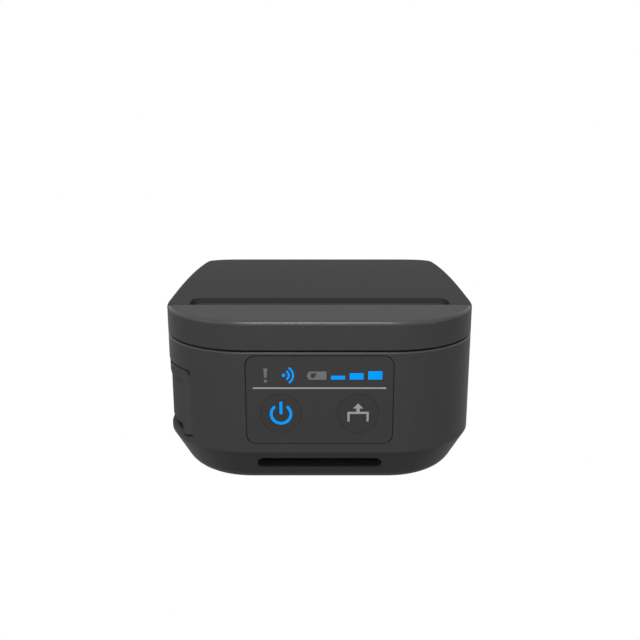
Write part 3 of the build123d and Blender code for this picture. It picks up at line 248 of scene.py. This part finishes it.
class Finish(Tree):
    """One material, built node by node round a Principled shader."""

    def __init__(self, name):
        self.material = bpy.data.materials.new(name)
        self.material.use_nodes = True
        super().__init__(self.material.node_tree)

    def split(self, vector):
        x = self.node("ShaderNodeSeparateXYZ", {}, [vector])
        return x, x.beside("Y"), x.beside("Z")

    def place(self):
        """The place on the object as a vector, and its X, Y and Z, in millimetres."""
        place = self.node("ShaderNodeTexCoord", {}, {}, "Object")
        scaled = self.node("ShaderNodeVectorMath", {"operation": "SCALE"}, {0: place, "Scale": 1 / MM})
        return scaled, self.split(scaled)

    def upright(self):
        """1 on walls and 0 on faces that look up or down."""
        normal = self.node("ShaderNodeTexCoord", {}, {}, "Normal")
        return 1 - self.split(normal)[2].size().step(*WALL_EDGE)

    def noise(self, place, size, detail=2.0):
        """Cloudy noise with features of about the given size in millimetres."""
        return self.node("ShaderNodeTexNoise", {}, {"Vector": place, "Scale": 1 / size, "Detail": detail})

    def pebbles(self, place, size):
        """Rounded cells, as in a leather-like grain."""
        return self.node("ShaderNodeTexVoronoi", {"feature": "SMOOTH_F1"},
                         {"Vector": place, "Scale": 1 / size, "Smoothness": 0.6})

    def tint(self, colour, change):
        """The colour, scaled by a socket that is about 1."""
        return self.node("ShaderNodeVectorMath", {"operation": "SCALE"}, {0: colour, "Scale": change})

    def blend(self, mask, first, second):
        """The first colour where the mask is 0, the second where it is 1."""
        return self.node("ShaderNodeMix", {"data_type": "RGBA"},
                         {MIX_FACTOR: mask, MIX_FIRST: (*first, 1.0), MIX_SECOND: (*second, 1.0)},
                         MIX_RESULT)

    def close(self, colour, roughness, height, depth, **constants):
        """Ends the material; height in units of depth, which is in millimetres."""
        bump = self.node("ShaderNodeBump", {}, {"Strength": 1.0, "Distance": depth * MM, "Height": height})
        inputs = {"Base Color": colour, "Roughness": roughness, "Normal": bump}
        for key, value in constants.items():
            inputs[key.replace("_", " ")] = value
        shader = self.node("ShaderNodeBsdfPrincipled", {}, inputs)
        self.node("ShaderNodeOutputMaterial", {}, {"Surface": shader})
        return self.material


def grey(value):
    return (value, value, value)


def way_round(x, y):
    """Distance along the plan of the body from its middle line, in millimetres."""
    sides = []
    for end, corner, across in ((FRONT, FRONT_CORNER, -y), (REAR, REAR_CORNER, y)):
        centre_x = HALF_WIDTH - corner
        centre_y = abs(end) - corner
        past = x.size() - centre_x
        angle = past.at_least(0.0).math("ARCTAN2", (across - centre_y).at_least(NEARLY_ZERO))
        sides.append(x.size().at_most(centre_x) + angle * corner + (centre_y - across).at_least(0.0))
    rear_half = y.step(-SIDE_BLEND, SIDE_BLEND)
    return sides[0] * (1 - rear_half) + sides[1] * rear_half


def rib_period():
    """A rib spacing that meets itself halfway along the body."""
    lengths = [HALF_WIDTH - corner + corner * math.pi / 2 + abs(end) - corner
               for end, corner in ((FRONT, FRONT_CORNER), (REAR, REAR_CORNER))]
    return sum(lengths) / RIBS_PER_SIDE


def case_plastic():
    """Moulded plastic with fine upright ribs round the walls, broken into short dashes."""
    finish = Finish("case_plastic")
    place, (x, y, z) = finish.place()
    round_body = way_round(x, y)
    period = rib_period()
    ribs = round_body.wave(period)
    dashes = (z + round_body.wave(2 * period) * 0.5).wave(RIB_DASH)
    upright = finish.upright()
    pattern = ribs * (dashes * DASH_SHARE + (1 - DASH_SHARE)) * upright
    grain = finish.noise(place, CASE_GRAIN)
    cloud = finish.noise(place, CASE_CLOUD)
    shade = pattern * 0.13 + grain * 0.12 + cloud * 0.08 + 0.84
    return finish.close(finish.tint(grey(CASE_GREY), shade),
                        roughness=grain * 0.1 + 0.74 - upright * WALL_POLISH,
                        height=pattern + grain * 0.35, depth=0.014, Specular_IOR_Level=0.24)


def cover_plastic():
    """Plastic with a fine spark-eroded grain and no ribs."""
    finish = Finish("cover_plastic")
    place, _ = finish.place()
    grain = finish.noise(place, COVER_GRAIN, detail=4.0)
    cloud = finish.noise(place, COVER_CLOUD)
    shade = grain * 0.14 + cloud * 0.08 + 0.89
    return finish.close(finish.tint(grey(COVER_GREY), shade), roughness=grain * 0.12 + 0.74,
                        height=grain, depth=0.02, Specular_IOR_Level=0.06)


def panel_plastic():
    """Plastic with a leather-like grain of soft pebbles."""
    finish = Finish("panel_plastic")
    place, _ = finish.place()
    wander = finish.noise(place, PANEL_CLOUD)
    pebbles = finish.pebbles(place, PANEL_PEBBLE)
    creases = finish.pebbles(place, PANEL_CREASE)
    height = pebbles * 0.7 + creases * 0.5 + wander * 0.4
    shade = pebbles * 0.1 + wander * 0.12 + 0.9
    return finish.close(finish.tint(grey(PANEL_GREY), shade), roughness=wander * 0.14 + 0.5,
                        height=height, depth=0.035, Specular_IOR_Level=0.2)


def key_plastic():
    """Soft-touch surface of the keys, with a very fine grain."""
    finish = Finish("key_plastic")
    place, _ = finish.place()
    grain = finish.noise(place, KEY_GRAIN, detail=3.0)
    return finish.close(finish.tint(grey(KEY_GREY), grain * 0.14 + 0.93), roughness=grain * 0.1 + 0.6,
                        height=grain, depth=0.015, Specular_IOR_Level=0.28)


def inner_plastic():
    """Black glass-filled plastic with faint flow streaks."""
    finish = Finish("inner_plastic")
    place, _ = finish.place()
    grain = finish.noise(place, INNER_GRAIN, detail=3.0)
    flow = finish.noise(place, INNER_FLOW)
    return finish.close(finish.tint(grey(INNER_GREY), grain * 0.2 + flow * 0.3 + 0.75),
                        roughness=flow * 0.15 + 0.45, height=grain, depth=0.02, Specular_IOR_Level=0.35)


def lever_plastic():
    """Smooth satin plastic of the opening lever, painted a little lighter than the case as painted light
    for the light that the real lever's dished face catches.
    """
    finish = Finish("lever_plastic")
    place, _ = finish.place()
    grain = finish.noise(place, LEVER_GRAIN, detail=3.0)
    return finish.close(finish.tint(grey(LEVER_PAINTED_LIGHT_GREY), grain * 0.1 + 0.95), roughness=grain * 0.08 + 0.5,
                        height=grain, depth=0.008, Specular_IOR_Level=0.12)


def window(name, colour, glow):
    """A mark in the panel. One that glows is near black itself, so that its own light sets its colour."""
    finish = Finish(name)
    place, _ = finish.place()
    cloud = finish.noise(place, WINDOW_CLOUD)
    lit = finish.tint(colour, cloud * 0.06 + 0.97)
    own_share = 0.02 if glow else 0.97
    base = finish.tint(colour, cloud * 0.06 + own_share)
    return finish.close(base, roughness=cloud * 0.05 + 0.4, height=cloud, depth=0.004,
                        Specular_IOR_Level=0.05, Emission_Color=lit, Emission_Strength=glow)


def metal(name, colour, roughness, along, grain=0.25):
    """Metal drawn or brushed along one axis."""
    finish = Finish(name)
    place, _ = finish.place()
    stretch = [1.0, 1.0, 1.0]
    stretch[along] = METAL_STRETCH
    drawn = finish.node("ShaderNodeVectorMath", {"operation": "MULTIPLY"}, {0: place, 1: stretch})
    lines = finish.noise(drawn, METAL_GRAIN, detail=4.0)
    cloud = finish.noise(place, METAL_CLOUD)
    return finish.close(finish.tint(colour, lines * grain + cloud * 0.1 + 0.95 - grain / 2),
                        roughness=lines * 0.12 + cloud * 0.06 + roughness - 0.09,
                        height=lines, depth=0.004, Metallic=1.0)


def rubber(name, value, roughness):
    """Rubber with a dull bloom in places."""
    finish = Finish(name)
    place, _ = finish.place()
    grain = finish.noise(place, RUBBER_GRAIN, detail=3.0)
    bloom = finish.noise(place, RUBBER_BLOOM, detail=3.0)
    return finish.close(finish.tint(grey(value), bloom * 0.5 + grain * 0.15 + 0.68),
                        roughness=bloom * 0.12 + roughness - 0.06, height=grain, depth=0.012,
                        Specular_IOR_Level=0.3)


def board():
    """Green lacquer over copper tracks that run in two directions."""
    finish = Finish("board")
    place, (x, y, _) = finish.place()
    tracks_x = x.wave(TRACK_PITCH_X).step(*TRACK_EDGE_X)
    tracks_y = y.wave(TRACK_PITCH_Y).step(*TRACK_EDGE_Y)
    areas = finish.noise(place, TRACK_AREA, detail=0.0).step(*TRACK_AREA_EDGE)
    tracks = tracks_x * areas + tracks_y * (1 - areas)
    colour = finish.blend(tracks, LACQUER, LACQUERED_COPPER)
    return finish.close(colour, roughness=areas * 0.04 + 0.3, height=tracks, depth=0.03,
                        Specular_IOR_Level=0.5)


def chip():
    """Black moulding compound of circuit packages and blocks."""
    finish = Finish("chip")
    place, _ = finish.place()
    grain = finish.noise(place, CHIP_GRAIN, detail=3.0)
    return finish.close(finish.tint(grey(CHIP_GREY), grain * 0.4 + 0.8), roughness=grain * 0.12 + 0.45,
                        height=grain, depth=0.01, Specular_IOR_Level=0.4)


def cable():
    """Flat ribbon cable: pale film over rows of conductors."""
    finish = Finish("cable")
    _, (x, _, _) = finish.place()
    wires = x.wave(WIRE_PITCH).step(*WIRE_EDGE)
    colour = finish.blend(wires, CABLE_FILM, CABLE_WIRE)
    return finish.close(colour, roughness=wires * 0.1 + 0.35, height=wires, depth=0.05,
                        Specular_IOR_Level=0.5)


def glaze():
    """Glazed ceramic of the print head, with its thin dark heater line halfway up."""
    finish = Finish("head_glaze")
    place, (_, _, z) = finish.place()
    head_low, head_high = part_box("thermal_head")
    line_height = (head_low.z + head_high.z) / 2 / MM
    line = 1 - (z - line_height).size().step(*HEATER_EDGE)
    cloud = finish.noise(place, HEAD_CLOUD)
    colour = finish.blend(line, HEAD_CERAMIC, HEATER_LINE)
    return finish.close(colour, roughness=cloud * 0.06 + 0.1, height=cloud, depth=0.003,
                        Specular_IOR_Level=0.6)


def acetal():
    """Natural acetal of the gears and bushings."""
    finish = Finish("gear_plastic")
    place, _ = finish.place()
    cloud = finish.noise(place, ACETAL_CLOUD, detail=3.0)
    return finish.close(finish.tint(ACETAL, cloud * 0.1 + 0.95), roughness=cloud * 0.1 + 0.3,
                        height=cloud, depth=0.006, Specular_IOR_Level=0.5)


FINISHES = {
    "case_plastic": case_plastic(),
    "cover_plastic": cover_plastic(),
    "panel_plastic": panel_plastic(),
    "key_plastic": key_plastic(),
    "inner_plastic": inner_plastic(),
    "lever_plastic": lever_plastic(),
    "grey_print": window("grey_print", grey(DIM_MARK), glow=0.0),
    "pale_print": window("pale_print", grey(PALE_MARK), glow=0.0),
    "blue_light": window("blue_light", LIT_BLUE, glow=1.0),
    "board": board(),
    "chip": chip(),
    "cable": cable(),
    "steel": metal("steel", grey(STEEL_GREY), roughness=0.32, along=ALONG_X),
    "black_steel": metal("black_steel", grey(BLACK_STEEL_GREY), roughness=0.42, along=ALONG_X),
    "aluminium": metal("aluminium", ALUMINIUM, roughness=0.36, along=ALONG_Z),
    "head_glaze": glaze(),
    "brass": metal("brass", BRASS, roughness=0.28, along=ALONG_Z, grain=0.15),
    "rubber": rubber("rubber", FEET_GREY, roughness=0.75),
    "platen_rubber": rubber("platen_rubber", PLATEN_GREY, roughness=0.55),
    "gear_plastic": acetal(),
}

# Pieces with a finish of their own in place of the one in the record
# The lever's own finish is painted lighter than the case, as painted light
OWN_FINISH = {"open_lever": "lever_plastic"}


def dress(node_name, finish_name):
    """Gives a CAD piece its finish."""
    slots = frame["nodes"][node_name].data.materials
    slots.clear()
    slots.append(FINISHES[finish_name])


for subpart in frame["record"]["subparts"]:
    dress(subpart["node"], OWN_FINISH.get(subpart["node"], subpart["material_slot"]))


class Ribs(Tree):
    """A row of moulded ribs, laid out by a node tree and kept as a plain mesh."""

    INPUTS = (("Count", "NodeSocketInt"), ("Rib Size", "NodeSocketVector"),
              ("First Rib", "NodeSocketVector"), ("Step", "NodeSocketVector"))

    def __init__(self, name, finish_name):
        self.name = name
        self.finish_name = finish_name
        super().__init__(bpy.data.node_groups.new(name, "GeometryNodeTree"))
        for label, kind in self.INPUTS:
            self.tree.interface.new_socket(label, in_out="INPUT", socket_type=kind)
        self.tree.interface.new_socket("Geometry", in_out="OUTPUT", socket_type="NodeSocketGeometry")
        count = self.node("NodeGroupInput", {}, {}, "Count")
        rib = self.node("GeometryNodeMeshCube", {}, {"Size": count.beside("Rib Size")})
        row = self.node("GeometryNodeMeshLine", {"mode": "OFFSET"},
                        {"Count": count, "Start Location": count.beside("First Rib"),
                         "Offset": count.beside("Step")})
        copies = self.node("GeometryNodeInstanceOnPoints", {}, {"Points": row, "Instance": rib})
        solid = self.node("GeometryNodeRealizeInstances", {}, {"Geometry": copies})
        painted = self.node("GeometryNodeSetMaterial", {},
                            {"Geometry": solid, "Material": FINISHES[finish_name]})
        self.node("NodeGroupOutput", {}, {"Geometry": painted})

    def piece(self, body, values):
        """Makes the ribs as a plain mesh that moves with a body. Lengths are in millimetres."""
        maker = bpy.data.objects.new(self.name, bpy.data.meshes.new(self.name))
        bpy.context.scene.collection.objects.link(maker)
        modifier = maker.modifiers.new("ribs", "NODES")
        modifier.node_group = self.tree
        for item in self.tree.interface.items_tree:
            if item.in_out == "INPUT":
                value = values[item.name]
                modifier[item.identifier] = value if item.name == "Count" else [v * MM for v in value]
        bpy.context.view_layer.update()
        graph = bpy.context.evaluated_depsgraph_get()
        mesh = bpy.data.meshes.new_from_object(maker.evaluated_get(graph))
        maker.modifiers.remove(modifier)
        maker.data = mesh
        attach(maker, body)


def tray_ribs():
    """Low ribs across the floor of the roll tray, on which the paper turns easily."""
    front = TRAY_LOW.y / MM + TRAY_WALL
    step = (TRAY_HIGH.y / MM - TRAY_WALL - front) / (TRAY_RIB_COUNT + 1)
    floor = TRAY_LOW.z / MM + TRAY_WALL
    Ribs("tray_ribs", "inner_plastic").piece("case", {
        "Count": TRAY_RIB_COUNT, "Rib Size": TRAY_RIB, "Step": (0.0, step, 0.0),
        "First Rib": (0.0, front + step, floor + TRAY_RIB[2] / 2 - RIB_BED)})


def grip_ribs():
    """Ribs on the rear of the battery, for the thumb that pulls it out."""
    middle = (CREASE_HEIGHT + BATTERY_HIGH.z / MM) / 2
    Ribs("grip_ribs", "case_plastic").piece("battery", {
        "Count": GRIP_COUNT, "Rib Size": GRIP_RIB, "Step": (0.0, 0.0, GRIP_STEP),
        "First Rib": (0.0, BATTERY_HIGH.y / MM, middle - GRIP_STEP * (GRIP_COUNT - 1) / 2)})


tray_ribs()
grip_ribs()


def softbox(name, size, energy, place, target):
    """A square area lamp that looks at a target."""
    lamp = bpy.data.lights.new(name, "AREA")
    lamp.shape = "SQUARE"
    lamp.size = size
    lamp.energy = energy
    holder = bpy.data.objects.new(name, lamp)
    holder.location = place
    aim = [t - p for t, p in zip(target, place)]
    holder.rotation_euler = direction(aim)
    bpy.context.scene.collection.objects.link(holder)


def direction(aim):
    """Turns that point a lamp's or camera's -Z axis along a vector."""
    x, y, z = aim
    flat = math.hypot(x, y)
    return (math.atan2(flat, -z), 0.0, math.atan2(-x, y))


def studio_world():
    """Pale surroundings that light the object and show white behind it."""
    world = bpy.data.worlds.new("studio")
    bpy.context.scene.world = world
    world.use_nodes = True
    surroundings = Tree(world.node_tree)
    camera, glossy, through = surroundings.light_path()
    seen = camera.at_least(glossy).at_least(through)
    strength = surroundings.node("ShaderNodeMapRange", {},
                                 {"Value": seen, "To Min": WORLD_LIGHT, "To Max": 1.0})
    light = surroundings.node("ShaderNodeBackground", {}, {"Color": WHITE, "Strength": strength})
    surroundings.node("ShaderNodeOutputWorld", {}, {"Surface": light})


def studio_floor():
    """A wide floor, pure white to the camera and without a shadow, that throws little light back."""
    mesh = bpy.data.meshes.new("studio_floor")
    corners = [(-FLOOR_REACH, -FLOOR_REACH, 0), (FLOOR_REACH, -FLOOR_REACH, 0),
               (FLOOR_REACH, FLOOR_REACH, 0), (-FLOOR_REACH, FLOOR_REACH, 0)]
    mesh.from_pydata(corners, [], [(0, 1, 2, 3)])
    floor = bpy.data.objects.new("studio_floor", mesh)
    bpy.context.scene.collection.objects.link(floor)
    finish = Finish("floor_paint")
    camera, glossy, through = finish.light_path()
    paint = finish.node("ShaderNodeBsdfDiffuse", {}, {"Color": (*grey(FLOOR_PAINT), 1.0)})
    white = finish.node("ShaderNodeEmission", {}, {"Color": WHITE, "Strength": 1.0})
    share = (camera + (glossy + through) * FLOOR_GLOSS).at_most(1.0)
    mixed = finish.node("ShaderNodeMixShader", {}, [share, paint, white])
    finish.node("ShaderNodeOutputMaterial", {}, {"Surface": mixed})
    mesh.materials.append(finish.material)


studio_world()
studio_floor()
for softbox_name, (softbox_size, softbox_energy, softbox_place) in SOFTBOXES.items():
    softbox(softbox_name, softbox_size, softbox_energy, softbox_place, MIDDLE)

camera_data = bpy.data.cameras.new("camera")
camera_data.lens = LENS
camera_data.sensor_width = SENSOR
camera_data.clip_start = CLIP_START
camera = bpy.data.objects.new("camera", camera_data)
camera.location = CAMERA_PLACE
camera.rotation_euler = (CAMERA_TILT, 0.0, 0.0)
bpy.context.scene.collection.objects.link(camera)
bpy.context.scene.camera = camera
bpy.context.scene.view_settings.view_transform = "Standard"
